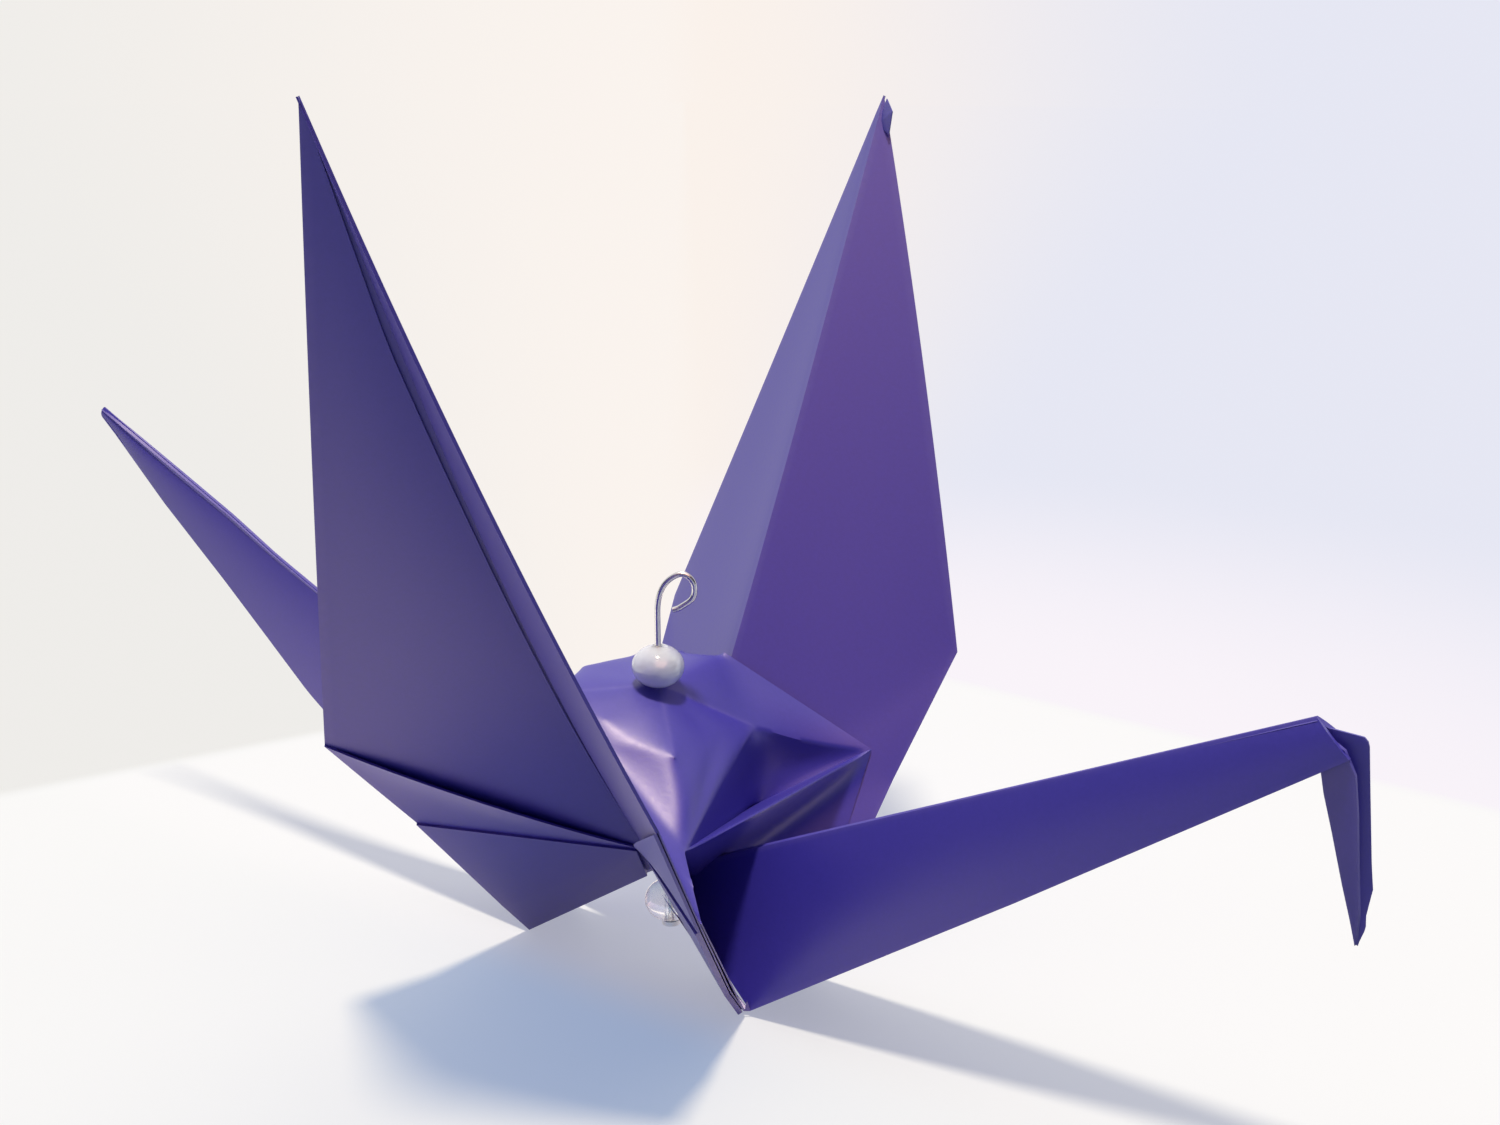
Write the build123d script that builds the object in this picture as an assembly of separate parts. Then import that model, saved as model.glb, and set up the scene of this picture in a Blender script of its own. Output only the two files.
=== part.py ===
"""Folded paper crane with two pearl beads on a wire hanger.

Millimetres. The crane stands on the table (Z = 0), its head points along +X and
its wings spread along Y. The body is worked out with the hanger wire on the Z
axis, and everything is moved at the end so that the origin is under the middle
of the whole object.
"""
import os
from math import atan2, cos, degrees, radians, sin, sqrt, tan

from build123d import *

# The sheet
SHEET = 150.0            # side of the square sheet
PAPER = 0.12             # thickness of one layer
HALF = SHEET / sqrt(2)   # centre to corner, the unit of all creases



def on_sheet(*lengths):
    """Lengths measured on a crane from a 150 mm sheet, for the sheet in use."""
    return tuple(k * SHEET / 150 for k in lengths)


# The folded pose
FLAP_LEAN = 28.0         # lower flaps lean out from upright
SPLAY_FRONT = 35.0       # front flap turned out from the body axis
SPLAY_REAR = 38.5        # rear flap turned out from the body axis
SLIT_TOP = on_sheet(0.3, 2.6, 11.1)   # where front and rear flap part, on each side
FOLD_LOW = 0.0128        # the wing is folded up this much under the slit's true top
INNER_HIGH = (0.005, 0.015)   # the narrow fold starts above its true corner, front, rear
SLIT_FOOT = 0.0125       # lower end of the slit
FRONT_FOOT = -0.040      # foot of the neck fold, on the sheet, below the waist
REAR_FOOT = -0.046       # foot of the tail fold
NECK_TOP = on_sheet(54.3, 34.2)  # neck ends and the head turns down (x, z)
NECK_MOUTH = 1.7         # opening of the neck at its lower edge there
TAIL_TIP = on_sheet(-67.6, -3.6, 41.9)
HEAD_LENGTH = 15.6       # paper folded down for the head
HEAD_DROP = 75.0         # slope of the head below level
RAW_EDGE_GAP = 1.1       # rear raw edge stops this short of the wing's middle
FLAP_SHORT = 1.2         # folded flaps stop this short of the middle

# The puffed back. It is fuller behind, and the near front shoulder is soft, so the
# four corners differ: near front, far front, near rear, far rear.
CROWN_Z, = on_sheet(24.8)
SHOULDER = (on_sheet(1.3, 5.0, 22.1), on_sheet(5.2, 6.7, 20.2),
            on_sheet(-7.0, 6.5, 24.9), on_sheet(-7.0, 6.5, 24.9))
POCKET = (on_sheet(13.9, 14.3, 15.4), on_sheet(12.5, 14.6, 17.0),
          on_sheet(-11.4, 15.4, 16.6), on_sheet(-11.4, 15.4, 16.6))
BROW = (on_sheet(1.9, 0.0, 19.8), on_sheet(-8.8, 0.0, 25.3))     # on the spine, front, rear
PINCH = (on_sheet(2.6, 0.0, 10.6), on_sheet(-6.4, 0.0, 12.6))    # it dives between the flaps
WING_ROOT = 0.212        # the back meets the wing's middle line, share of its length
HOLE = 1.1               # pierced along the wire

# Beads and wire
BEAD_WIDTH = 4.5
BEAD_HEIGHT = 3.7
BEAD_BORE = 0.9
TOP_BEAD_Z = CROWN_Z + BEAD_HEIGHT / 2 + 0.1
LOWER_BEAD_Z, = on_sheet(5.2)
WIRE_LEAN = 0.9          # the wire leans this far towards the neck at the lower bead
WIRE = 0.5
PIN_HEAD = 1.7
PIN_HEAD_THICK = 0.4
EYE_HEADING = 34.0       # the eye opens along this heading
STRAIGHT_WIRE = 6.2      # rises this far over the crown before the eye
EYE_PATH = ((0.1, 1.6), (0.6, 2.9), (1.35, 3.6), (2.2, 3.85), (2.95, 3.3),
            (3.15, 2.5), (2.85, 1.6), (2.1, 1.05), (1.3, 0.7))   # sideways, and over that


def add(a, b, k=1.0):
    return tuple(p + k * q for p, q in zip(a, b))


def sub(a, b):
    return add(a, b, -1.0)


def dot(a, b):
    return sum(p * q for p, q in zip(a, b))


def cross(a, b):
    return (a[1] * b[2] - a[2] * b[1], a[2] * b[0] - a[0] * b[2], a[0] * b[1] - a[1] * b[0])


def unit(a):
    size = sqrt(dot(a, a))
    return tuple(p / size for p in a)


def between(a, b, share):
    return add(a, sub(b, a), share)


def mirror_y(point, side):
    """The same point on the near side (-1) or on the far side (+1)."""
    return (point[0], side * abs(point[1]), point[2])


def turn(point, start, end, angle):
    """Turn a point about the line from start to end."""
    axis, arm = unit(sub(end, start)), sub(point, start)
    turned, along = cross(axis, arm), dot(axis, arm)
    c, s = cos(angle), sin(angle)
    return tuple(o + a * c + n * s + k * along * (1 - c)
                 for o, a, n, k in zip(start, arm, turned, axis))


def three_lengths(a, b, c, to_a, to_b, to_c):
    """The upper point at given lengths from three points."""
    ex = unit(sub(b, a))
    d, i = dot(ex, sub(b, a)), dot(ex, sub(c, a))
    rest = add(sub(c, a), ex, -i)
    ey = unit(rest)
    j = dot(ey, rest)
    x = (to_a ** 2 - to_b ** 2 + d ** 2) / (2 * d)
    y = (to_a ** 2 - to_c ** 2 + i ** 2 + j ** 2) / (2 * j) - i / j * x
    z = sqrt(to_a ** 2 - x ** 2 - y ** 2)
    foot = add(add(a, ex, x), ey, y)
    ez = cross(ex, ey)
    return max(add(foot, ez, z), add(foot, ez, -z), key=lambda p: p[2])


def grown(points, normal, amount):
    """The outline moved outwards in its own plane, so that neighbours join."""
    turns = (0.0, 0.0, 0.0)
    for i, here in enumerate(points):
        turns = add(turns, cross(sub(points[i - 1], points[0]), sub(here, points[0])))
    sense = 1 if dot(turns, normal) > 0 else -1
    moved = []
    for i, here in enumerate(points):
        before = cross(unit(sub(here, points[i - 1])), normal)
        after = cross(unit(sub(points[(i + 1) % len(points)], here)), normal)
        both = add(before, after)
        step = sense * amount * min(2 / max(dot(both, both), 0.01), 2.0)
        moved.append(add(here, both, step))
    return moved


def plate(points, layers, rise=0.0, towards=(0, 0, 1), grow=0.5):
    """Flat paper on an outline: so many layers thick, from so many layers over it."""
    normal = unit(cross(sub(points[1], points[0]), sub(points[2], points[0])))
    if dot(normal, towards) < 0:
        normal = tuple(-k for k in normal)
    base = [Vector(*add(p, normal, rise * PAPER)) for p in grown(points, normal, grow * PAPER)]
    return Solid.extrude(Face(Wire.make_polygon(base, close=True)),
                         Vector(*normal) * (layers * PAPER))


# Crease lengths on the flat bird base, in units of HALF. The waist line is level
# zero, the wing tip is at PEAK and the neck and tail tips are at -PEAK.
PEAK = sqrt(0.5)
WAIST = PEAK * tan(radians(22.5))
NARROW = tan(radians(11.25))


def crease_x(level):
    """Half width left by the narrowing fold at a level over the waist."""
    return (level + PEAK) * NARROW


WING_CORNER = (1 - PEAK * NARROW / WAIST) / (NARROW / WAIST + 1 / PEAK)
INNER_CORNER = (1 - PEAK * NARROW / WAIST) / (NARROW / WAIST + 1 / WAIST)
SLIT = WING_CORNER - crease_x(WING_CORNER)   # the wing folds at 45 degrees


def flap(splay, sense, foot):
    """Corners of one lower flap of the near side, bent until its foot is down."""
    lean, a = radians(FLAP_LEAN), radians(splay)
    up = (0.0, -sin(lean), cos(lean))
    across = (sense * cos(a), -cos(lean) * sin(a), -sin(lean) * sin(a))
    top = (SLIT_TOP[0], -SLIT_TOP[1], SLIT_TOP[2])

    def at(x, level):
        return add(add(top, across, HALF * x), up, HALF * (level - SLIT + FOLD_LOW))

    corner = at(crease_x(WING_CORNER), WING_CORNER)
    inner_level = INNER_CORNER + INNER_HIGH[0 if sense > 0 else 1]
    inner = at(crease_x(inner_level), inner_level)
    flat_foot = at(crease_x(foot), foot)
    low, high = -0.6, 0.6
    sign = turn(flat_foot, top, inner, low)[2] > 0
    for _ in range(50):
        bend = (low + high) / 2
        if (turn(flat_foot, top, inner, bend)[2] > 0) == sign:
            low = bend
        else:
            high = bend
    lower = [turn(p, top, inner, bend) for p in (at(crease_x(0), 0), flat_foot, at(0, SLIT_FOOT))]
    return [top, corner, inner] + lower


FRONT = flap(SPLAY_FRONT, 1, FRONT_FOOT)
REAR = flap(SPLAY_REAR, -1, REAR_FOOT)
WING_EDGE = HALF * sqrt(crease_x(WING_CORNER) ** 2 + (PEAK - WING_CORNER) ** 2)
WING_TIP = three_lengths(FRONT[1], REAR[1], FRONT[0], WING_EDGE, WING_EDGE,
                         HALF * (PEAK - SLIT + FOLD_LOW))


def wing_side(side):
    """One wing and the two lower flaps under it."""
    outside = (0.0, side, -0.4)
    tip = mirror_y(WING_TIP, side)
    pieces = []
    for half, gap in ((FRONT, 0.3), (REAR, RAW_EDGE_GAP)):
        top, corner, inner, waist, foot, slit = [mirror_y(p, side) for p in half]
        # Wing: a whole inner layer, and an outer one with its raw edge at the middle.
        pieces.append(plate([tip, corner, top], 1, -0.5, outside))
        toward = unit(sub(corner, between(top, tip, 0.25)))
        raw = [add(between(top, tip, share), toward, gap * depth)
               for share, depth in ((0.15, 0.3), (0.45, 0.8), (0.7, 1.0), (0.88, 0.5))]
        pieces.append(plate([corner, top] + raw + [tip], 1.25, 0.25, outside, 0.6))
        # Lower flap: the inner layers up to the slit, then the folded-over layers,
        # which stop short of it and show two steps.
        pieces.append(plate([top, corner, inner], 3, -1.7, outside, 0.7))
        pieces.append(plate([top, inner, waist, foot, slit], 3, -1.7, outside, 0.7))
        short_top = between(top, corner, FLAP_SHORT / (HALF * 0.269))
        short_in = between(top, inner, FLAP_SHORT / (HALF * 0.18))
        short_slit = between(slit, foot, FLAP_SHORT / (HALF * 0.15))
        pieces.append(plate([short_top, corner, inner, short_in], 2.4, 0.8, outside, 0.9))
        pieces.append(plate([short_in, inner, waist, foot, short_slit], 4.4, 0.75, outside, 1.1))
    return pieces


def puffed_back(side, end):
    """One quarter of the opened back: end 0 is the front, end 1 the rear."""
    half = (FRONT, REAR)[end]
    crown = (0.0, 0.0, CROWN_Z)
    root = mirror_y(between(FRONT[0], WING_TIP, WING_ROOT), side)
    corner = 2 * end + (1 if side > 0 else 0)
    shoulder, pocket = mirror_y(SHOULDER[corner], side), mirror_y(POCKET[corner], side)
    brow, pinch = BROW[end], PINCH[end]
    foot, slit = mirror_y(half[4], side), mirror_y(half[5], side)
    facets = ((crown, shoulder, brow), (crown, root, shoulder), (shoulder, brow, pinch),
              (root, shoulder, pocket), (shoulder, pinch, pocket), (pinch, pocket, foot),
              (pinch, foot, slit))
    return [plate(f, 1, -0.5, (0.3 if end == 0 else -0.3, 0, 1)) for f in facets]


def neck_and_tail(side):
    inside = (0.0, -side, 0.0)
    slit, foot = mirror_y(FRONT[5], side), mirror_y(FRONT[4], side)
    nape = (NECK_TOP[0], side * 0.05, NECK_TOP[1])
    neck = unit(sub(nape, slit))
    down = unit((neck[2], 0.0, -neck[0]))
    slope = atan2(neck[2], neck[0])
    # The head is turned about a line that halves the angle between neck and head.
    fold = (slope + radians(HEAD_DROP)) / 2
    reach = HEAD_LENGTH * NARROW / (sin(fold) + NARROW * cos(fold))
    jaw = add(add(nape, neck, reach * cos(fold)), down, reach * sin(fold))
    jaw = (jaw[0], side * NECK_MOUTH / 2, jaw[2])
    drop = (cos(radians(HEAD_DROP)), 0.0, -sin(radians(HEAD_DROP)))
    beak = add((nape[0], 0.0, nape[2]), drop, HEAD_LENGTH)
    cheek = between(jaw, beak, 0.86)
    cheek = (cheek[0] + 0.35, side * 0.45, cheek[2])
    near_beak = (beak[0], side * 0.05, beak[2])
    tail_slit, tail_foot = mirror_y(REAR[5], side), mirror_y(REAR[4], side)
    tail = (TAIL_TIP[0], TAIL_TIP[1] + side * 0.05, TAIL_TIP[2])
    return [plate([slit, foot, jaw], 4, 0, inside), plate([slit, jaw, nape], 4, 0, inside),
            plate([nape, jaw, cheek], 4, 0, inside), plate([nape, cheek, near_beak], 4, 0, inside),
            plate([tail_slit, tail_foot, tail], 4, 0, inside)]


def folded_sheet():
    pieces = []
    for side in (-1, 1):
        pieces += wing_side(side)
        pieces += neck_and_tail(side)
        for end in (0, 1):
            pieces += puffed_back(side, end)
    whole = pieces[0].fuse(*pieces[1:])
    pierced = whole - Pos(0, 0, CROWN_Z / 2) * Cylinder(HOLE / 2, CROWN_Z * 1.3)
    return pierced


def bead(level):
    """A bead on the wire, which leans below the crown: a bored ellipse, turned."""
    half = Ellipse(BEAD_WIDTH / 2, BEAD_HEIGHT / 2)
    half -= Pos(BEAD_BORE / 2, 0) * Rectangle(BEAD_WIDTH, BEAD_HEIGHT * 2, align=(Align.MAX, Align.CENTER))
    bored = revolve(Plane.XZ * half, Axis.Z)
    if level > CROWN_Z:
        return Pos(0, 0, level) * bored
    lean = atan2(WIRE_LEAN, CROWN_Z - level)
    return Pos(WIRE_LEAN, 0, level) * Rot(0, -degrees(lean), 0) * bored


def hanger():
    """Straight wire with a flat head below and a small open eye above."""
    c, s = cos(radians(EYE_HEADING)), sin(radians(EYE_HEADING))
    down = unit((WIRE_LEAN, 0.0, LOWER_BEAD_Z - CROWN_Z))
    foot = add((WIRE_LEAN, 0.0, LOWER_BEAD_Z), down, BEAD_HEIGHT / 2)
    top = CROWN_Z + STRAIGHT_WIRE
    path = [(0.0, 0.0, top)] + [(c * u, s * u, top + rise) for u, rise in EYE_PATH]
    leaning = Line(foot, (0, 0, CROWN_Z))
    straight = Line((0, 0, CROWN_Z), (0, 0, top))
    bent = Spline(*path, tangents=((0, 0, 1), (-c, -s, -0.25)))
    start = Plane(origin=foot, z_dir=tuple(-k for k in down))
    wire = sweep(start * Circle(WIRE / 2), path=Wire([leaning, straight, bent]),
                 transition=Transition.ROUND)
    head = start * Pos(0, 0, -PIN_HEAD_THICK / 2) * Cylinder(PIN_HEAD / 2, PIN_HEAD_THICK)
    return wire + head


pieces = {"folded_sheet": folded_sheet(), "top_bead": bead(TOP_BEAD_Z),
          "lower_bead": bead(LOWER_BEAD_Z), "head_pin": hanger()}
box = Compound(children=[Compound(p.solids()) for p in pieces.values()]).bounding_box()
centre = Pos(-(box.min.X + box.max.X) / 2, -(box.min.Y + box.max.Y) / 2, -box.min.Z)

os.makedirs("parts", exist_ok=True)
for name, shape in pieces.items():
    moved = centre * shape
    print(name, len(moved.solids()), "solid", round(moved.volume, 2), "mm3", moved.is_valid)
    export_step(moved, f"parts/{name}.step")
print("moved by", centre.position, "size", box.size)
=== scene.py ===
"""Looks of the folded paper crane: paper, beads, wire, table and light.

Shapes are worked out in millimetres in the body's own frame, with the hanger wire
on Z and the head towards +X. place() turns them into metres in the row's frame.
The near side of the crane is towards -Y and the far side towards +Y.
"""
import math

import bpy
import numpy as np
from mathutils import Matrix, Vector


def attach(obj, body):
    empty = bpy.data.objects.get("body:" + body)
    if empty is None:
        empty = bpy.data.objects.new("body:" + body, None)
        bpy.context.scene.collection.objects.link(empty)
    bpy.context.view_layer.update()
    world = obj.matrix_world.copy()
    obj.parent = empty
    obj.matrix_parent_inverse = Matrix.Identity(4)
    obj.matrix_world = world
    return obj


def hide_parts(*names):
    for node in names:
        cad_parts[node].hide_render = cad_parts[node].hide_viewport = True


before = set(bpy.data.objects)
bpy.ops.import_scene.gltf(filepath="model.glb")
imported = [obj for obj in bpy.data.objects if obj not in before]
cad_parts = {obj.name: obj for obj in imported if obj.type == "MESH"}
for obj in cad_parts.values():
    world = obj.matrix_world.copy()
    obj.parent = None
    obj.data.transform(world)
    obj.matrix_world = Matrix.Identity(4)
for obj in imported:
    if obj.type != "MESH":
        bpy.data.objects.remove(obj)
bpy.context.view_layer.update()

MM = 0.001
SHIFT = np.array([4.418, 0.0, 0.516])    # from the body's frame to the row's
PAPER = 0.12                              # thickness of one layer
GRID, BACK_GRID, WEB_GRID = 30, 24, 4     # cells along each edge of a facet
MERGE_DIGITS = 3                          # vertices that agree to so many decimals are one
NO_EDGE = 99.0                            # distance where no such edge is near
EASE, FIRM_EASE, FIRM_REACH = 0.5, 0.04, 1.2   # share of a smoothing move, and near firm edges
NEAR_WING_PASSES, FAR_WING_PASSES, BACK_PASSES = 2, 30, 22   # smoothing passes
NECK_PASSES, HEAD_PASSES, TAIL_PASSES = 6, 2, 1
FOLD_WEAR_AND_HIGHLIGHT = 0.22                          # how far a fold's pale mark reaches: crease wear, and on some ridges of the back a painted highlight
CUT_REACH = 0.02                          # a rim this close to a raw edge is cut
SHARP_ANGLE = 42                          # degrees, kept as a crease in shading

CAMERA_AT = (80.964, -105.973, 75.276)    # as solved from the photograph
CAMERA_TURN = (73.502, 0.039, 34.035)     # degrees
FOCAL_LENGTH, SENSOR_WIDTH = 40.20, 36.0
CLIP_START, CLIP_END = 0.005, 10.0

# Corners of the folded sheet, by the names that the facets below use. A last
# letter f or r stands for front or rear. These are the same on either side, with
# Y outward.
EITHER_SIDE = {
    "N": (0.2, 34.75, 73.6),       # wing tip
    "P": (0.3, 2.5, 11.1),         # middle of the wing's root, top of the slit
    "Kf": (16.8, 22.3, 24.75),     # corner under the wing
    "Kr": (-15.4, 23.2, 24.2),
    "K2f": (14.6, 15.0, 14.5),     # lower corner of the middle flap
    "K2r": (-13.5, 15.7, 15.2),
    "wf": (13.0, 6.4, 3.4),        # waist
    "wr": (-12.9, 6.4, 3.7),
    "F": (12.2, 4.2, 0.06),        # feet
    "R": (-12.8, 3.3, 0.06),
    "Sf": (0.5, 0.45, 8.1),        # slit, where neck and tail start
    "Sr": (-0.2, 0.35, 8.3),
    "J": (0.3, 9.36, 25.2),        # the back meets the wing
    "Gr": (-7.0, 6.5, 24.9),       # shoulder
    "Qr": (-11.4, 15.2, 16.6),     # end of the pocket
}
FAR_SIDE = {"Gf": (5.2, 6.7, 20.2), "Qf": (12.5, 14.6, 17.0)}
FAR_TIP_SHIFT = (1.0, -0.5, -0.9)
# the near side is pulled open further
NEAR_SIDE = {"Gf": (5.4, 5.1, 21.4), "Qf": (14.8, 14.6, 13.6), "J": (0.3, 8.0, 21.8),
             "K2f": (15.0, 14.8, 13.2), "F": (11.8, 4.5, 0.06), "wf": (11.9, 6.6, 2.9)}
# on the spine or near it, in body coordinates
MIDDLE = {
    "O": (0, 0, 24.8),             # crown, under the bead
    "Uf": (5.3, 0.8, 20.9),        # brow
    "Ur": (-8.8, 0, 25.3),
    "Tf": (9.5, -9.5, 16.0),       # the brow's fold turns in
    "Tr": (-6.4, 0, 12.6),
    "M": (4.9, 6.6, 12.4),         # bottom of the far pocket
    "X": (3.0, 1.0, 7.2),          # under the rim, beside the neck
    "E": (-1.0, -6.2, 23.7),       # near brim of the back
}

# The last two millimetres of the far tip are bent over towards the front
BENT_TIP = {"a": (1.0, 33.6, 70.1), "b": (1.75, 33.9, 72.4), "c": (2.85, 33.0, 71.3),
            "d": (2.6, 32.9, 69.3)}
BENT_TIP_OUTWARD = (0.3, -0.5, 0.8)

# How far the raw edges stop short of the wing's middle line, from tip to root
RAW_EDGE_FRONT = (0, 0.55, 0.45, 0.3, 0.15)
RAW_EDGE_REAR = (0, 0.85, 0.6, 0.4, 0.1)
ROOT_SHARE = 0.75                         # they draw back as seen from here, tip to root
MIDDLE_FLAP_SHORT, LOW_FLAP_SHORT = 0.9, 1.2
WING_BULGE, FLAP_BULGE, BAND_BULGE = 0.25, 0.1, 0.25
# Heights of the layers' middles over the inner layer
OUTER_LIFT, OUTER_RISE = 0.13, 0.12
MIDDLE_LIFT, MIDDLE_RISE = 0.27, 0.95
LOW_LIFT = 0.38
MIDDLE_LAYERS, LOW_LAYERS, HEAD_LAYERS, BAND_LAYERS = 2, 3.6, 2, 4
BAND_SINK = -0.24

BEAD_SEAT_REACH, BEAD_SEAT_RISE = 4.0, 0.10
CROWN_RADIUS, BACK_FLOOR = 0.6, 15        # the crown's vertices, and what lies under it

# The neck ends, in body coordinates, with Y outward
NAPE, JAW = (54.35, 0.1, 34.3), (56.9, 1.0, 32.1)
NECK_FOOT = (12.2, 4.2, 0.06)
NECK_SAG, NECK_SPREAD = -0.15, 0.3

# Outlines of head and tail from the side, as X and Z
HEAD_RIDGE = ((54.2, 33.7), (55.0, 30.6), (55.33, 29.1), (56.15, 26.4), (57.15, 22.9),
              (57.9, 20.5), (58.4, 18.75))
HEAD_EDGE_NEAR = ((56.5, 32.6), (57.35, 31.0), (57.75, 28.3), (58.1, 25.0), (58.5, 21.2),
                  (58.45, 19.4), (58.42, 18.8))
HEAD_EDGE_FAR = ((57.35, 33.3), (57.7, 32.95), (58.06, 29.8), (58.69, 24.5), (58.94, 22.8),
                 (58.74, 20.9), (58.85, 20.0), (58.42, 18.7))
TAIL_TOP = ((-0.2, 8.3), (-20.0, 17.4), (-39.9, 27.5), (-44.7, 29.95), (-50.2, 33.1),
            (-58.9, 37.6), (-67.5, 42.1))
TAIL_LOW = ((-12.8, 0.06), (-26.5, 7.6), (-40.1, 16.9), (-45.6, 21.6), (-51.1, 26.3),
            (-59.5, 33.2), (-66.1, 39.4), (-67.9, 41.0))
BAND_ROWS, BAND_COLS = 60, 24
# Half openings: of the head, from its tip up, and of the tail, from its root back
HEAD_HALF_RIDGE, HEAD_HALF_TIP, HEAD_HALF_OPEN = 0.06, 0.1, 0.5
HEAD_TIP_Z, HEAD_OPENS_OVER = 18.7, 4
TAIL_HALF_TOP, TAIL_HALF_LOW, TAIL_CLOSES = 0.3, 3.9, 1.2
TAIL_TIP_TOP, TAIL_TIP_LOW = 0.05, 0.08
TAIL_TOP_LENGTH, TAIL_LOW_LENGTH = 67.6, 67.9
TAIL_TURN = 0.053                         # sideways for each millimetre back


def place(points):
    """Body millimetres to metres in the row's frame."""
    return (np.asarray(points, float) + SHIFT) * MM


def vec(*p):
    return np.array(p, float)


def unit(v):
    return v / np.linalg.norm(v)


def corners_of(side):
    """Corners of the near (-1) or far (+1) side, and those in the middle."""
    own = {**EITHER_SIDE, **(FAR_SIDE if side > 0 else NEAR_SIDE)}
    out = {name: vec(x, side * y, z) for name, (x, y, z) in own.items()}
    if side > 0:
        out["N"] = out["N"] + vec(*FAR_TIP_SHIFT)
    out.update({name: vec(*p) for name, p in MIDDLE.items()})
    return out


def lattice(n):
    """Barycentric weights and triangles of a triangle cut n times along each edge."""
    index, weights = {}, []
    for i in range(n + 1):
        for j in range(n + 1 - i):
            index[i, j] = len(weights)
            weights.append((1 - (i + j) / n, i / n, j / n))
    tris = []
    for i in range(n):
        for j in range(n - i):
            tris.append((index[i, j], index[i + 1, j], index[i, j + 1]))
            if i + j < n - 1:
                tris.append((index[i + 1, j], index[i + 1, j + 1], index[i, j + 1]))
    return np.array(weights), np.array(tris)


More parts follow.
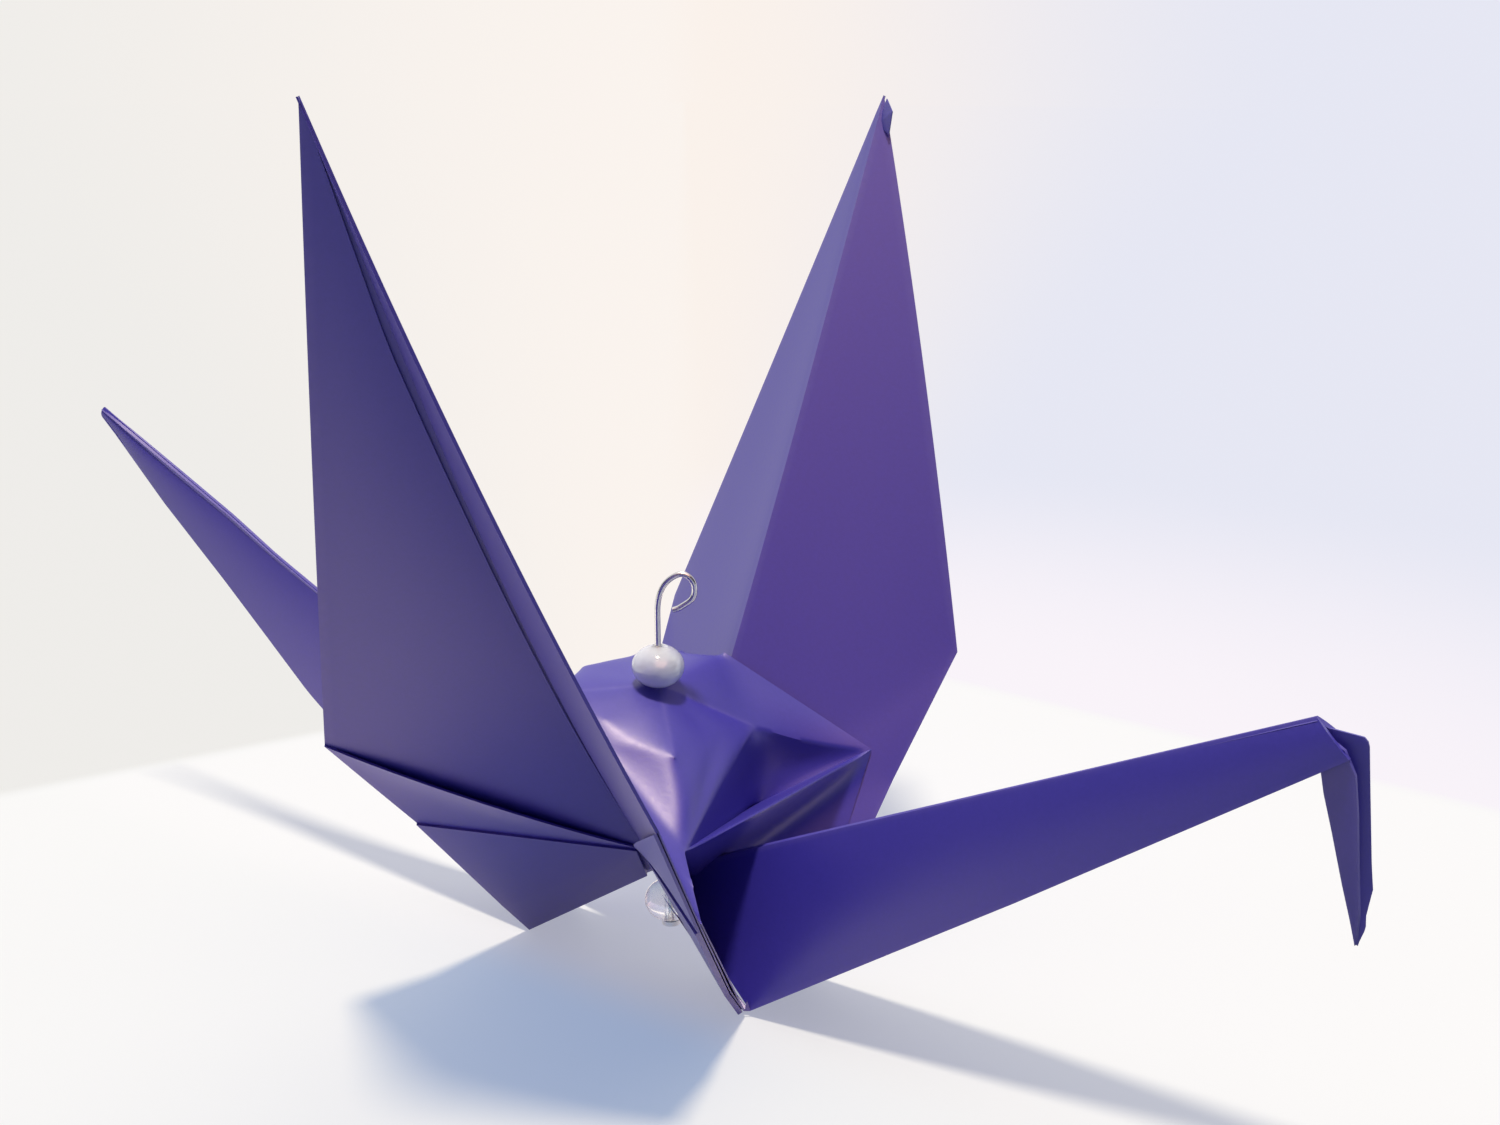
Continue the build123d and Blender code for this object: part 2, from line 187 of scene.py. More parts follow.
class Sheet:
    """A connected piece of paper, of triangular facets and ruled bands."""

    def __init__(self, corners, bows=None, n=GRID):
        self.corners, self.bows = corners, bows or {}
        self.weights, self.tris = lattice(n)
        self.v, self.f, self.lift, self.fold, self.raw, self.firm = [], [], [], [], [], []

    def add(self, v, f, lift, fold, raw, firm):
        """Stores some vertices with their triangles, lifts and distances to edges."""
        start = sum(len(x) for x in self.v)
        self.v.append(v)
        self.f.append(f + start)
        self.lift.append(lift)
        self.fold.append(fold)
        self.raw.append(raw)
        self.firm.append(firm)
        return self

    def bowed(self, names, p):
        """Moves a facet's points with the bows of its edges, which fade out across it."""
        for i, j in ((0, 1), (1, 2), (2, 0)):
            key = (names[i], names[j])
            reverse = key not in self.bows
            bow = self.bows.get(key[::-1] if reverse else key)
            if bow is None:
                continue
            wi, wj = self.weights[:, i], self.weights[:, j]
            t = wj / np.maximum(wi + wj, 1e-9)
            p = p + bow(1 - t if reverse else t) * ((wi + wj) ** 2)[:, None]
        return p

    def facet(self, names, outward, bulge=0.0, lift=0.0, folds=(), raw=(), firm=()):
        """Adds the triangle between three named corners.

        outward points roughly to the side that faces out, bulge is how far the
        middle swells that way, and lift how far the layer stands off, as a number
        or a function of the weights. folds, raw and firm name edges by their ends:
        folds that get the pale fold mark (crease wear, and on some ridges of the
        back a painted highlight), cut edges, and edges that smoothing leaves crisp.
        """
        a, b, c = (self.corners[k] for k in names)
        w = self.weights
        p = w[:, :1] * a + w[:, 1:2] * b + w[:, 2:] * c
        normal = unit(np.cross(b - a, c - a))
        flip = normal @ np.array(outward, float) < 0
        if flip:
            normal = -normal
        p = self.bowed(names, p)
        # 27 times the product of the weights is 1 in the middle
        p = p + normal * (bulge * 27 * w[:, 0] * w[:, 1] * w[:, 2])[:, None]
        area2 = np.linalg.norm(np.cross(b - a, c - a))
        heights = {frozenset((names[1], names[2])): (0, area2 / np.linalg.norm(c - b)),
                   frozenset((names[2], names[0])): (1, area2 / np.linalg.norm(a - c)),
                   frozenset((names[0], names[1])): (2, area2 / np.linalg.norm(b - a))}
        distances = [np.full(len(w), NO_EDGE) for _ in range(3)]
        for pairs, store in zip((folds, raw, firm), distances):
            for pair in pairs:
                if frozenset(pair) in heights:
                    i, height = heights[frozenset(pair)]
                    np.minimum(store, w[:, i] * height, out=store)
        lift = lift(w) if callable(lift) else np.full(len(w), float(lift))
        return self.add(p, self.tris[:, ::-1] if flip else self.tris, lift, *distances)

    def band(self, first, second, outward, rows=40, cols=10, bulge=0.0, folds=False):
        """Adds a ruled strip between two broken lines."""
        def along(line, count):
            line = np.array(line, float)
            step = np.r_[0, np.cumsum(np.linalg.norm(np.diff(line, axis=0), axis=1))]
            at = np.linspace(0, step[-1], count)
            return np.column_stack([np.interp(at, step, line[:, k]) for k in range(3)])
        a, b = along(first, rows), along(second, rows)
        s = np.linspace(0, 1, cols)
        p = a[:, None] * (1 - s)[None, :, None] + b[:, None] * s[None, :, None]
        normal = unit(np.cross(b[rows // 2] - a[rows // 2], a[-1] - a[0]))
        flip = normal @ np.array(outward, float) < 0
        normal = -normal if flip else normal
        p = (p + (bulge * 4 * s * (1 - s))[None, :, None] * normal).reshape(-1, 3)
        i, j = np.meshgrid(np.arange(rows - 1), np.arange(cols - 1), indexing="ij")
        k = (i * cols + j).ravel()
        tris = np.vstack([np.column_stack([k, k + 1, k + cols]),
                          np.column_stack([k + 1, k + cols + 1, k + cols])])
        width = np.linalg.norm(b - a, axis=1)[:, None]
        to_edge = (np.minimum(s[None, :], 1 - s[None, :]) * width).ravel()
        no_edge = np.full(len(p), NO_EDGE)
        return self.add(p, tris[:, ::-1] if flip else tris, np.zeros(len(p)),
                        to_edge if folds else no_edge, no_edge, no_edge)

    def solid(self, thickness=PAPER, smooth=0, base=0.0, after=None):
        """Joins the facets, eases the folds, and gives the sheet its thickness.

        Returns vertices, faces, each vertex's distance to a fold, and 1 for each
        face that is a cut edge. after is called with the eased vertices.
        """
        v, f = np.vstack(self.v), np.vstack(self.f)
        lift, fold, raw, firm = (np.concatenate(x) for x in
                                 (self.lift, self.fold, self.raw, self.firm))
        _, first, same = np.unique(np.round(v, MERGE_DIGITS), axis=0, return_index=True,
                                   return_inverse=True)
        same = same.reshape(-1)
        count = len(first)
        shared = np.bincount(same, minlength=count)
        merged = np.column_stack([np.bincount(same, v[:, k], count) / shared for k in range(3)])
        lift = np.bincount(same, lift, count) / shared

        def nearest(distance):
            out = np.full(count, NO_EDGE)
            np.minimum.at(out, same, distance)
            return out
        fold, raw, firm = nearest(fold), nearest(raw), nearest(firm)
        f = same[f]
        f = f[(f[:, 0] != f[:, 1]) & (f[:, 1] != f[:, 2]) & (f[:, 0] != f[:, 2])]
        edges = np.vstack([f[:, [0, 1]], f[:, [1, 2]], f[:, [2, 0]]])
        ends, at, uses = np.unique(np.sort(edges, axis=1), axis=0, return_index=True,
                                   return_counts=True)
        rim = edges[at[uses == 1]]

        # each pass moves a vertex towards its neighbours, and hardly near a firm edge
        ease = np.clip(firm / FIRM_REACH, FIRM_EASE, 1.0) * EASE
        ease[rim.ravel()] = 0.0
        for _ in range(smooth):
            total, degree = np.zeros((count, 3)), np.zeros(count)
            np.add.at(total, ends[:, 0], merged[ends[:, 1]])
            np.add.at(total, ends[:, 1], merged[ends[:, 0]])
            np.add.at(degree, ends.ravel(), 1)
            merged = merged + (total / degree[:, None] - merged) * ease[:, None]
        if after:
            merged = after(merged)

        face_n = np.cross(merged[f[:, 1]] - merged[f[:, 0]], merged[f[:, 2]] - merged[f[:, 0]])
        n = np.zeros((count, 3))
        for k in range(3):
            np.add.at(n, f[:, k], face_n)
        n /= np.maximum(np.linalg.norm(n, axis=1), 1e-12)[:, None]
        mid = merged + n * (lift + base)[:, None]
        top, bottom = mid + n * thickness / 2, mid - n * thickness / 2
        walls = np.vstack([
            np.column_stack([rim[:, 1], rim[:, 0], rim[:, 0] + count]),
            np.column_stack([rim[:, 1], rim[:, 0] + count, rim[:, 1] + count])])
        faces = np.vstack([f, f[:, ::-1] + count, walls])
        cut = np.zeros(len(faces))
        on_raw = (raw[rim[:, 0]] < CUT_REACH) & (raw[rim[:, 1]] < CUT_REACH)
        cut[2 * len(f):] = np.concatenate([on_raw, on_raw])
        return np.vstack([top, bottom]), faces, np.concatenate([fold, fold]), cut


def joined(name, solids):
    """One mesh object from several thin solids, with the fold and cut attributes."""
    verts, faces, fold, cut, start = [], [], [], [], 0
    for v, f, distance, is_cut in solids:
        verts.append(place(v))
        faces.append(f + start)
        fold.append(np.exp(-(distance / FOLD_WEAR_AND_HIGHLIGHT) ** 2))
        cut.append(is_cut)
        start += len(v)
    verts, faces = np.vstack(verts), np.vstack(faces)
    mesh = bpy.data.meshes.new(name)
    mesh.from_pydata(verts.tolist(), [], faces.tolist())
    mesh.attributes.new("fold", "FLOAT", "POINT").data.foreach_set(
        "value", np.concatenate(fold).astype(np.float32))
    mesh.attributes.new("cut", "FLOAT", "FACE").data.foreach_set(
        "value", np.concatenate(cut).astype(np.float32))
    mesh.shade_smooth()
    mesh.set_sharp_from_angle(angle=math.radians(SHARP_ANGLE))
    mesh.update()
    piece = bpy.data.objects.new(name, mesh)
    bpy.context.scene.collection.objects.link(piece)
    return piece


def arc(vector, skew=0.0):
    """A bow whose deepest point is the vector, moved towards the end by the skew."""
    d = np.array(vector, float)

    def at(t):
        s = t ** (1 + skew) if skew >= 0 else 1 - (1 - t) ** (1 - skew)
        return (4 * s * (1 - s))[:, None] * d
    return at


def gap(middle, toward, widths):
    """The middle line's bow plus a raw edge that stops short of it."""
    at = np.linspace(0, 1, len(widths))

    def curve(t):
        return middle(t) + np.interp(t, at, widths)[:, None] * toward
    return curve


def outer_lift(w):
    """Height of a wing's outer layer, which rises towards its raw edge."""
    along = 4 * w[:, 0] * w[:, 2] / np.maximum((w[:, 0] + w[:, 2]) ** 2, 1e-6)
    return OUTER_LIFT + OUTER_RISE * along * (1 - w[:, 1]) ** 3


def middle_lift(w):
    """Height of the flap under the wing, which stands off along its upper fold."""
    return MIDDLE_LIFT + MIDDLE_RISE * 4 * w[:, 0] * w[:, 1] * (1 - w[:, 2]) ** 2


def wing(side):
    """One wing with the two flaps under it, as stacked layers."""
    c = corners_of(side)
    out = vec(0, side, -0.4)
    near = side < 0
    middle = arc(vec(-0.5, side * 1.25, 0) if near else vec(0.1, side * 0.5, 0), 0.25)
    bows = {("N", "P"): middle,
            ("N", "Kf"): arc(vec(-0.3, side * 0.7, 0) if near else vec(0.3, side * 0.2, 0)),
            ("N", "Kr"): arc(vec(0, side * 0.1, 0)),
            ("Kf", "P"): arc(vec(0, side * 0.1, -0.3)),
            ("Kr", "P"): arc(vec(0, side * 0.1, -0.3))}
    ends = (("Kf", "K2f", "wf", "F", "Sf", RAW_EDGE_FRONT),
            ("Kr", "K2r", "wr", "R", "Sr", RAW_EDGE_REAR))
    inner = Sheet(c, bows)
    for k, low, waist, foot, slit, _ in ends:
        folds = [("N", "P"), ("N", k), (k, low), (waist, low)] + ([(k, "P")] if near else [])
        inner.facet(("N", k, "P"), out, WING_BULGE, folds=folds, firm=[("N", "P")])
        for names in (("P", k, low), ("P", low, waist), ("P", waist, foot), ("P", foot, slit)):
            inner.facet(names, out, folds=folds)
    solids = [inner.solid(smooth=NEAR_WING_PASSES if near else FAR_WING_PASSES)]
    if not near:
        bent = Sheet({name: vec(*p) for name, p in BENT_TIP.items()})
        for names in (("a", "b", "c"), ("a", "c", "d")):
            bent.facet(names, BENT_TIP_OUTWARD, folds=[("a", "b")])
        solids.append(bent.solid())
    for k, low, waist, foot, slit, widths in ends:
        toward = unit(c[k] - (ROOT_SHARE * c["P"] + (1 - ROOT_SHARE) * c["N"]))
        outer = Sheet(c, {**bows, ("N", "P"): gap(middle, toward, widths)})
        outer.facet(("N", k, "P"), out, WING_BULGE, outer_lift,
                    folds=[("N", k), (k, "P")], raw=[("N", "P")])
        solids.append(outer.solid())
        flap = Sheet(c, {(k, "P"): arc(vec(0, side * 0.25, 0.35))})
        flap.facet(("P", k, low), out, FLAP_BULGE, middle_lift, folds=[(k, "P"), (k, low)])
        solids.append(flap.solid(MIDDLE_LAYERS * PAPER))
        short = dict(c)
        short["P"] = c["P"] + unit(c[low] - c["P"]) * MIDDLE_FLAP_SHORT
        short[slit] = c[slit] + unit(c[foot] - c[slit]) * LOW_FLAP_SHORT
        flap = Sheet(short)
        for names, folds in ((("P", low, waist), [("P", low), (low, waist)]),
                             (("P", waist, foot), []),
                             (("P", foot, slit), [(foot, slit)])):
            flap.facet(names, out, lift=LOW_LIFT, folds=folds + [("P", slit)])
        solids.append(flap.solid(LOW_LAYERS * PAPER))
    return solids


def seat_bead(v):
    """Lifts the crown back up to the bead that sits on it."""
    r = np.hypot(v[:, 0], v[:, 1])
    above = v[:, 2] > BACK_FLOOR
    rise = MIDDLE["O"][2] + BEAD_SEAT_RISE - v[(r < CROWN_RADIUS) & above, 2].mean()
    v[:, 2] += rise * np.exp(-(r / BEAD_SEAT_REACH) ** 2) * above
    return v


def quarter_of_back(sheet, side, end):
    """Adds one quarter of the back, at the front ("f") or the rear ("r") of a side."""
    far_front = side > 0 and end == "f"
    near_front = side < 0 and end == "f"
    ahead = 1 if end == "f" else -1
    o, j, g, u, t, q = "O", "J", "G" + end, "U" + end, "T" + end, "Q" + end
    foot, slit = "F" if end == "f" else "R", "S" + end
    sheet.bows = {}
    firm, folds = [(t, q), (g, q), (t, slit), (o, g)], [(o, g)]
    plan = [((o, g, u), 0.15), ((g, u, t), 0.3), ((q, foot, slit), 0.0),
            ((t, q, slit), 0.3 if far_front else -0.3)]
    if side < 0:
        plan += [((o, "E", g), 0.15), (("E", j, g), 0.1)]
    else:
        plan += [((o, j, g), 0.2), ((j, g, q), 0.25)]
    if near_front:
        # the front fold of this side meets the rim here
        # the pale fold mark along t–q gives this ridge its thin light line: partly crease wear,
        # partly a painted highlight
        folds = [(t, q), (o, g)]
        plan += [((j, g, t), -0.12), ((j, t, q), -0.3), ((t, slit, "X"), 0.0)]
    elif far_front:
        sheet.bows = {(g, q): arc(vec(-0.4, 0, -0.5), 0.15), (t, q): arc(vec(0.6, -0.85, 0.65))}
        firm = [(g, q), (t, slit), (g, t), ("M", q), ("M", t), (o, g)]
        # the pale fold mark along g–t gives this ridge its light band: partly crease wear, partly a
        # painted highlight
        folds = [(g, t), (o, g)]
        plan += [((g, t, "M"), -0.2), ((g, "M", q), -0.5), ((t, q, "M"), -0.3)]
    else:
        plan += [((g, t, q), -1.0)] + ([((j, g, q), -0.3)] if side < 0 else [])
    for names, bulge in plan:
        outward = vec(0.3 * ahead, 0, 1)
        if names == (t, slit, "X"):
            outward = vec(0, -0.7, -0.7)
        elif names == (t, q, slit):
            outward = vec(0.6 * ahead, 0, -0.8)
        elif foot in names:
            outward = vec(0.5 * ahead, -side, 0.4)
        sheet.facet(names, outward, bulge, folds=folds, firm=firm)


def back():
    """The puffed back: a top with four shoulders, and the pockets that fold in under
    it. With it comes the paper that closes the gap between the near foot and the neck."""
    sheet = Sheet(None, n=BACK_GRID)
    for side in (-1, 1):
        sheet.corners = corners_of(side)
        if side > 0:
            sheet.corners["Sf"] = sheet.corners["X"]
        for end in "fr":
            quarter_of_back(sheet, side, end)
    web = Sheet({"F": corners_of(-1)["F"], "N": vec(12.2, -4.2, 0.06), "W": vec(12.0, -4.4, 1.1),
                 "S": vec(0.5, -0.45, 5.5), "D": vec(11.3, -4.5, 0.06),
                 "E": vec(11.9, -4.1, 0.06)}, n=WEB_GRID)
    web.facet(("F", "N", "W"), (0.5, -0.8, 0)).facet(("S", "D", "E"), (0, 0, 1))
    return [sheet.solid(smooth=BACK_PASSES, after=seat_bead), web.solid(PAPER / 2)]


def neck_and_tail(side):
    """One side's half of the neck, the head and the tail."""
    out = vec(0, side, 0)
    slit = corners_of(side)["Sf"]
    nape, jaw, foot = (vec(x, side * y, z) for x, y, z in (NAPE, JAW, NECK_FOOT))
    under = 0.5 * (foot + jaw) + vec(0, side * NECK_SPREAD, NECK_SAG)
    neck = Sheet(None).band([slit, nape], [foot, under, jaw], out, BAND_ROWS, BAND_COLS,
                            BAND_BULGE, folds=True)

    # the head is closed along its back and open in front
    def half_open(z):
        return side * (HEAD_HALF_TIP
                       + HEAD_HALF_OPEN * min(1, (z - HEAD_TIP_Z) / HEAD_OPENS_OVER))
    edge = HEAD_EDGE_NEAR if side < 0 else HEAD_EDGE_FAR
    head = Sheet(None).band([(x, side * HEAD_HALF_RIDGE, z) for x, z in HEAD_RIDGE],
                            [(x, half_open(z), z) for x, z in edge], out, folds=True)

    # the tail closes towards its tip
    def half_top(x):
        return side * (TAIL_TIP_TOP + TAIL_HALF_TOP * (1 + x / TAIL_TOP_LENGTH))

    def half_low(x):
        return side * (TAIL_TIP_LOW + TAIL_HALF_LOW * (1 + x / TAIL_LOW_LENGTH) ** TAIL_CLOSES)
    tail = Sheet(None).band([(x, TAIL_TURN * x + half_top(x), z) for x, z in TAIL_TOP],
                            [(x, TAIL_TURN * x + half_low(x), z) for x, z in TAIL_LOW],
                            out, BAND_ROWS, BAND_COLS, BAND_BULGE)
    return [neck.solid(BAND_LAYERS * PAPER, NECK_PASSES, BAND_SINK),
            head.solid(HEAD_LAYERS * PAPER, HEAD_PASSES),
            tail.solid(BAND_LAYERS * PAPER, TAIL_PASSES, BAND_SINK)]


class Graph:
    """A node tree, with short calls for the nodes that are used here."""

    def __init__(self, tree):
        self.nodes, self.links = tree.nodes, tree.links

    def feed(self, value, socket):
        """Links an output to the socket, or sets a colour or a number on it."""
        if hasattr(value, "is_linked"):
            self.links.new(value, socket)
        else:
            socket.default_value = (*value, 1) if isinstance(value, tuple) else value

    def coordinate(self, kind="Object"):
        return self.nodes.new("ShaderNodeTexCoord").outputs[kind]

    def attribute(self, name):
        node = self.nodes.new("ShaderNodeAttribute")
        node.attribute_name = name
        return node.outputs["Fac"]

    def noise(self, where, scale, detail, rough):
        node = self.nodes.new("ShaderNodeTexNoise")
        node.inputs["Scale"].default_value = scale
        node.inputs["Detail"].default_value = detail
        node.inputs["Roughness"].default_value = rough
        self.links.new(where, node.inputs["Vector"])
        return node.outputs["Fac"]

    def math(self, operation, a, b, clamp=False):
        node = self.nodes.new("ShaderNodeMath")
        node.operation, node.use_clamp = operation, clamp
        self.feed(a, node.inputs[0])
        self.feed(b, node.inputs[1])
        return node.outputs[0]

    def add(self, a, b, clamp=False):
        return self.math("ADD", a, b, clamp)

    def times(self, a, b):
        return self.math("MULTIPLY", a, b)

    def larger(self, a, b):
        return self.math("MAXIMUM", a, b)

    def mix(self, factor, a, b):
        """Colour a where the factor is 0 and b where it is 1."""
        node = self.nodes.new("ShaderNodeMix")
        node.data_type = "RGBA"
        for value, socket in ((factor, 0), (a, 6), (b, 7)):
            self.feed(value, node.inputs[socket])
        return node.outputs[2]

    def length(self, vector):
        node = self.nodes.new("ShaderNodeVectorMath")
        node.operation = "LENGTH"
        self.links.new(vector, node.inputs[0])
        return node.outputs["Value"]

    def dot(self, vector, direction):
        node = self.nodes.new("ShaderNodeVectorMath")
        node.operation = "DOT_PRODUCT"
        node.inputs[1].default_value = direction
        self.links.new(vector, node.inputs[0])
        return node.outputs["Value"]

    def step(self, value, start, end):
        """0 before the start and 1 after the end, eased between them."""
        node = self.nodes.new("ShaderNodeMapRange")
        node.interpolation_type = "SMOOTHSTEP"
        node.inputs["From Min"].default_value, node.inputs["From Max"].default_value = start, end
        self.links.new(value, node.inputs["Value"])
        return node.outputs["Result"]

    def shader(self, kind, **colours):
        """A shader node and its output, with sockets fed by name."""
        node = self.nodes.new("ShaderNode" + kind)
        for name, value in colours.items():
            self.feed(value, node.inputs[name])
        return node.outputs[0]

    def mix_shader(self, factor, a, b):
        node = self.nodes.new("ShaderNodeMixShader")
        for value, socket in zip((factor, a, b), node.inputs):
            self.links.new(value, socket)
        return node.outputs[0]


def material(name):
    m = bpy.data.materials.new(name)
    m.use_nodes = True
    return m, Graph(m.node_tree), m.node_tree.nodes["Principled BSDF"]


def paper_material():
    """Violet paper with fine fibres, paler along its folds and cut edges; the pale fold mark is
    crease wear, and on some ridges of the back a painted highlight.
    """
    m, g, bsdf = material("violet_paper")
    where = g.coordinate()
    fold, cut = g.attribute("fold"), g.attribute("cut")
    fibre = g.noise(where, scale=2600, detail=5, rough=0.65)
    blotch = g.noise(where, scale=420, detail=4, rough=0.6)
    fold_mark_noise = g.noise(where, scale=900, detail=3, rough=0.6)
    colour = g.mix(fibre, (0.033, 0.028, 0.30), (0.053, 0.040, 0.42))
    colour = g.mix(g.times(blotch, 0.5), colour, (0.046, 0.035, 0.36))
    # pale, less smooth mark along the marked folds: crease wear, and on some ridges of the back a
    # painted highlight
    fold_wear_and_highlight = g.times(fold, g.times(fold_mark_noise, 0.22))
    colour = g.mix(fold_wear_and_highlight, colour, (0.30, 0.25, 0.55))
    colour = g.mix(cut, colour, (0.42, 0.38, 0.66))
    g.links.new(colour, bsdf.inputs["Base Color"])
    rough = g.add(g.add(0.36, g.times(fibre, 0.12)), g.times(fold_wear_and_highlight, 0.25))
    g.links.new(rough, bsdf.inputs["Roughness"])
    bsdf.inputs["Specular IOR Level"].default_value = 1.0
    bsdf.inputs["Specular Tint"].default_value = (1.0, 0.89, 0.80, 1)
    bsdf.inputs["Sheen Weight"].default_value = 0.02
    bsdf.inputs["Sheen Roughness"].default_value = 0.4
    bump = g.nodes.new("ShaderNodeBump")
    bump.inputs["Strength"].default_value = 0.22
    bump.inputs["Distance"].default_value = 0.00003
    g.links.new(fibre, bump.inputs["Height"])
    g.links.new(bump.outputs[0], bsdf.inputs["Normal"])
    return m


def pearl_material(clear):
    """Milky glass, or clear glass where clear is near 1, under a thin lustre."""
    m, g, bsdf = material("pearl_glass")
    cloud = g.noise(g.coordinate(), scale=500, detail=3, rough=0.5)
    colour = g.mix(cloud, (0.80, 0.86, 0.92), (0.94, 0.93, 0.94))
    g.links.new(colour, bsdf.inputs["Base Color"])
    bsdf.inputs["Roughness"].default_value = 0.10
    bsdf.inputs["Transmission Weight"].default_value = clear
    bsdf.inputs["IOR"].default_value = 1.5 if clear < 0.5 else 1.25
    if clear < 0.5:
        bsdf.inputs["Subsurface Weight"].default_value = 0.8
        bsdf.inputs["Subsurface Radius"].default_value = (1.0, 1.0, 1.0)
        bsdf.inputs["Subsurface Scale"].default_value = 0.002
    bsdf.inputs["Coat Weight"].default_value = 1.0
    bsdf.inputs["Coat Roughness"].default_value = 0.04
    bsdf.inputs["Thin Film Thickness"].default_value = 420
    bsdf.inputs["Thin Film IOR"].default_value = 1.45
    return m


def wire_material():
    """Drawn silver-coloured wire."""
    m, g, bsdf = material("silver_wire")
    streak = g.noise(g.coordinate(), scale=1500, detail=3, rough=0.6)
    g.links.new(g.mix(streak, (0.70, 0.69, 0.66), (0.82, 0.80, 0.77)), bsdf.inputs["Base Color"])
    bsdf.inputs["Metallic"].default_value = 1.0
    g.links.new(g.add(0.16, g.times(streak, 0.15)), bsdf.inputs["Roughness"])
    return m


# The table ends at two pale boards that meet in an upright corner behind the crane.
# As the camera sees them they are tones, on the floor and in the world. Directions
# and distances along them are in the row's frame, in metres.
TABLE_HALF = 3
LEFT_BOARD, LEFT_BOARD_AT = (-0.8998, 0.4363, 0), 0.0615
RIGHT_BOARD, RIGHT_BOARD_AT = (0.0442, 0.9990, 0), 0.0750
ACROSS = (-0.8069, -0.5906, 0)            # from the right board towards the left one
CORNER_SHIFT = 0.0063
DIM_SIDE = (0.95, -0.3, 0)
WARM_LAMP, PALE_CEILING, BRIGHT_SIDE = (0.55, -0.40, 0.73), (-0.05, 0.2, 0.98), (-0.559, 0.829, 0)
KEY_AT, KEY_TARGET = (0.06, -0.13, 1.1), (0.01, 0, 0)
KEY_SIZE, KEY_POWER, KEY_COLOUR = 0.13, 10.5, (1.0, 0.90, 0.80)


def board_tones(g, across):
    """Right and left board, from warm white at their corner to cooler further out."""
    outward = g.times(across, -1.0)
    return (g.mix(g.step(outward, 0.0, 0.35), (0.96, 0.885, 0.83), (0.79, 0.80, 0.90)),
            g.mix(g.step(across, 0.0, 0.45), (0.96, 0.90, 0.855), (0.86, 0.845, 0.82)))


def floor_material():
    """The table as the camera, the gloss and the diffuse light each meet it."""
    m, g, bsdf = material("floor")
    bsdf.inputs["Roughness"].default_value = 0.8
    bsdf.inputs["Specular IOR Level"].default_value = 0.1
    spot = g.coordinate()
    reach = g.length(spot)
    past_left = g.math("SUBTRACT", g.dot(spot, LEFT_BOARD), LEFT_BOARD_AT)
    past_right = g.math("SUBTRACT", g.dot(spot, RIGHT_BOARD), RIGHT_BOARD_AT)
    board = g.step(g.larger(past_left, past_right), -0.0015, 0.0025)

    # the object feels a pale table left of it, and a dim one elsewhere
    dim = g.larger(g.step(reach, 0.4, 1.2), g.step(g.dot(spot, DIM_SIDE), 0.012, 0.04))
    dim = g.times(dim, g.math("SUBTRACT", 1.0, board))
    g.links.new(g.mix(dim, (0.98, 0.90, 0.93), (0.11, 0.17, 0.34)), bsdf.inputs["Base Color"])

    # the boards
    sideways = g.dot(spot, ACROSS)
    right_tone, left_tone = board_tones(g, g.math("DIVIDE", sideways, reach))
    right_tone = g.mix(g.step(reach, 0.08, 0.2), (0.95, 0.90, 0.95), right_tone)
    tone = g.mix(g.step(g.add(sideways, CORNER_SHIFT), -0.006, 0.006), right_tone, left_tone)
    # far out, where no other view should see the lamp fall off, the table is plain
    plain = g.step(reach, 0.25, 0.5)
    wall = g.shader("Emission", Color=g.mix(board, (0.94, 0.94, 0.93), tone))

    # the table near the crane, whose shade is lifted by a painted fill glow, bluish in front and
    # greyer beside it;
    # lit, it is brighter than the white it is seen as, which the paper's gloss shows
    ray = g.nodes.new("ShaderNodeLightPath").outputs
    beside = g.step(g.dot(spot, (0, 1, 0)), -0.012, -0.003)
    colour = g.mix(beside, (0.54, 0.50, 0.36), (0.49, 0.50, 0.44))
    lit = g.shader("BsdfDiffuse", Color=g.mix(ray["Is Glossy Ray"], colour, (0.98, 0.90, 0.72)))
    painted_fill = g.shader("Emission", Color=g.mix(beside, (0.27, 0.35, 0.51), (0.35, 0.36, 0.43)))
    table = g.nodes.new("ShaderNodeAddShader")
    g.links.new(lit, table.inputs[0])
    g.links.new(painted_fill, table.inputs[1])
    seen = g.mix_shader(g.larger(board, plain), table.outputs[0], wall)

    mirrored = g.times(ray["Is Glossy Ray"], g.math("SUBTRACT", 1.0, g.times(dim, 0.75)))
    shown = g.add(g.add(ray["Is Camera Ray"], mirrored), ray["Is Transmission Ray"], True)
    both = g.mix_shader(g.larger(shown, board), bsdf.outputs[0], seen)
    g.links.new(both, g.nodes["Material Output"].inputs["Surface"])
    return m


def key_light():
    """The one lamp, high in front of the crane."""
    light = bpy.data.lights.new("key", "AREA")
    light.shape, light.size, light.energy, light.color = "DISK", KEY_SIZE, KEY_POWER, KEY_COLOUR
    lamp = bpy.data.objects.new("key", light)
    bpy.context.scene.collection.objects.link(lamp)
    lamp.location = KEY_AT
    aim = Vector(KEY_TARGET) - Vector(KEY_AT)
    lamp.rotation_euler = aim.to_track_quat("-Z", "Y").to_euler()


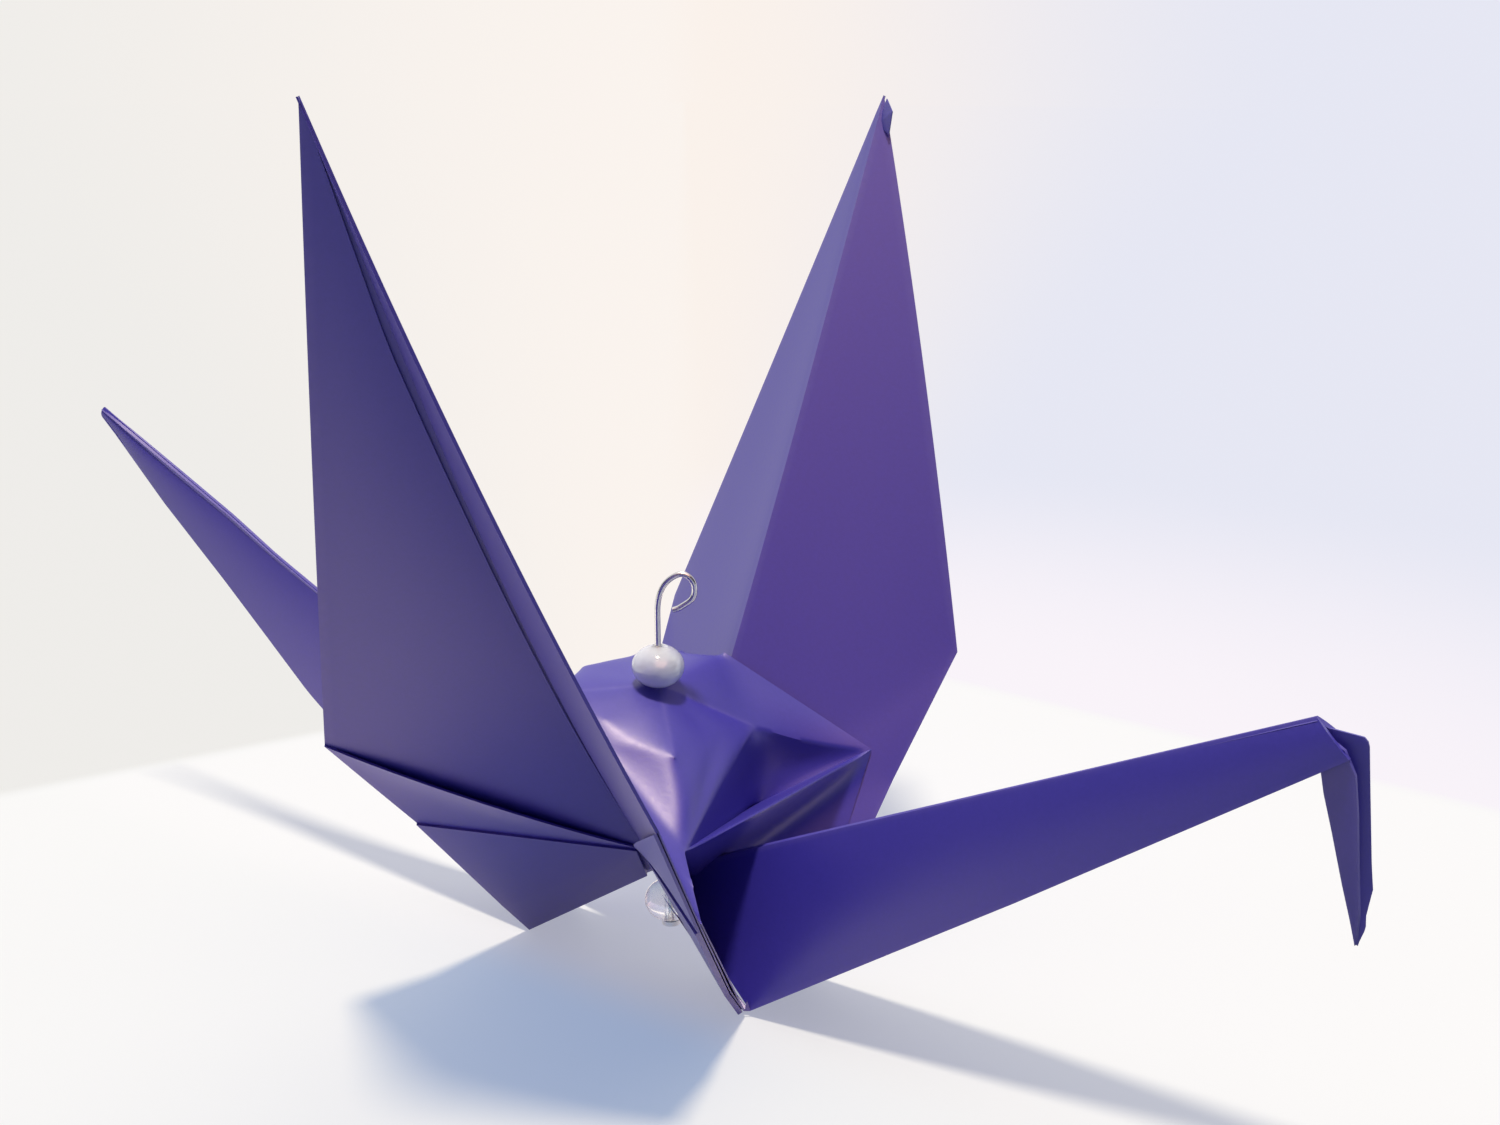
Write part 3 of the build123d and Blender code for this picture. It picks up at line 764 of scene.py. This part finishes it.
def room_light():
    """The boards as the camera sees them, and the pale room that lights the crane."""
    world = bpy.data.worlds.new("world")
    bpy.context.scene.world = world
    world.use_nodes = True
    g = Graph(world.node_tree)
    background = g.nodes["Background"]
    ray = g.nodes.new("ShaderNodeLightPath").outputs
    seen = g.add(ray["Is Camera Ray"], ray["Is Transmission Ray"], True)
    where = g.coordinate("Generated")
    room = g.mix(g.step(g.dot(where, (0, 0, 1)), 0.1, 0.9), (0.01, 0.012, 0.03), (0.10, 0.12, 0.22))
    room = g.mix(g.step(g.dot(where, BRIGHT_SIDE), -0.15, 0.30), room, (0.88, 0.87, 0.92))
    sideways = g.dot(where, ACROSS)
    wall = g.mix(g.step(sideways, -0.02, 0.02), *board_tones(g, sideways))
    # the gloss shows a pale room above and a warm lamp to the right of the camera
    above = g.times(ray["Is Glossy Ray"], g.step(g.dot(where, PALE_CEILING), 0.5, 0.95))
    warm = g.times(ray["Is Glossy Ray"], g.step(g.dot(where, WARM_LAMP), 0.84, 0.99))
    room = g.mix(above, room, (0.95, 0.88, 0.90))
    room = g.mix(warm, room, (2.7, 1.65, 1.5))
    g.links.new(g.mix(seen, room, wall), background.inputs["Color"])
    background.inputs["Strength"].default_value = 1.0


camera = bpy.data.objects.new("camera", bpy.data.cameras.new("camera"))
bpy.context.scene.collection.objects.link(camera)
bpy.context.scene.camera = camera
camera.location = place(CAMERA_AT)
camera.rotation_euler = [math.radians(a) for a in CAMERA_TURN]
camera.data.lens = FOCAL_LENGTH
camera.data.sensor_width = SENSOR_WIDTH
camera.data.clip_start, camera.data.clip_end = CLIP_START, CLIP_END

violet = paper_material()
crane = joined("paper_crane",
               wing(-1) + wing(1) + back() + neck_and_tail(-1) + neck_and_tail(1))
crane.data.materials.append(violet)
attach(crane, "root")
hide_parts("folded_sheet")

for node, look in (("top_bead", pearl_material(0.2)), ("lower_bead", pearl_material(0.95)),
                   ("head_pin", wire_material())):
    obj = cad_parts[node]
    obj.data.materials.clear()
    obj.data.materials.append(look)
    obj.data.shade_smooth()

floor_mesh = bpy.data.meshes.new("floor")
floor_mesh.from_pydata([(x * TABLE_HALF, y * TABLE_HALF, 0)
                        for x, y in ((-1, -1), (1, -1), (1, 1), (-1, 1))], [], [(0, 1, 2, 3)])
floor = bpy.data.objects.new("floor", floor_mesh)
bpy.context.scene.collection.objects.link(floor)
floor_mesh.materials.append(floor_material())

key_light()
room_light()

bpy.context.scene.view_settings.view_transform = "Standard"
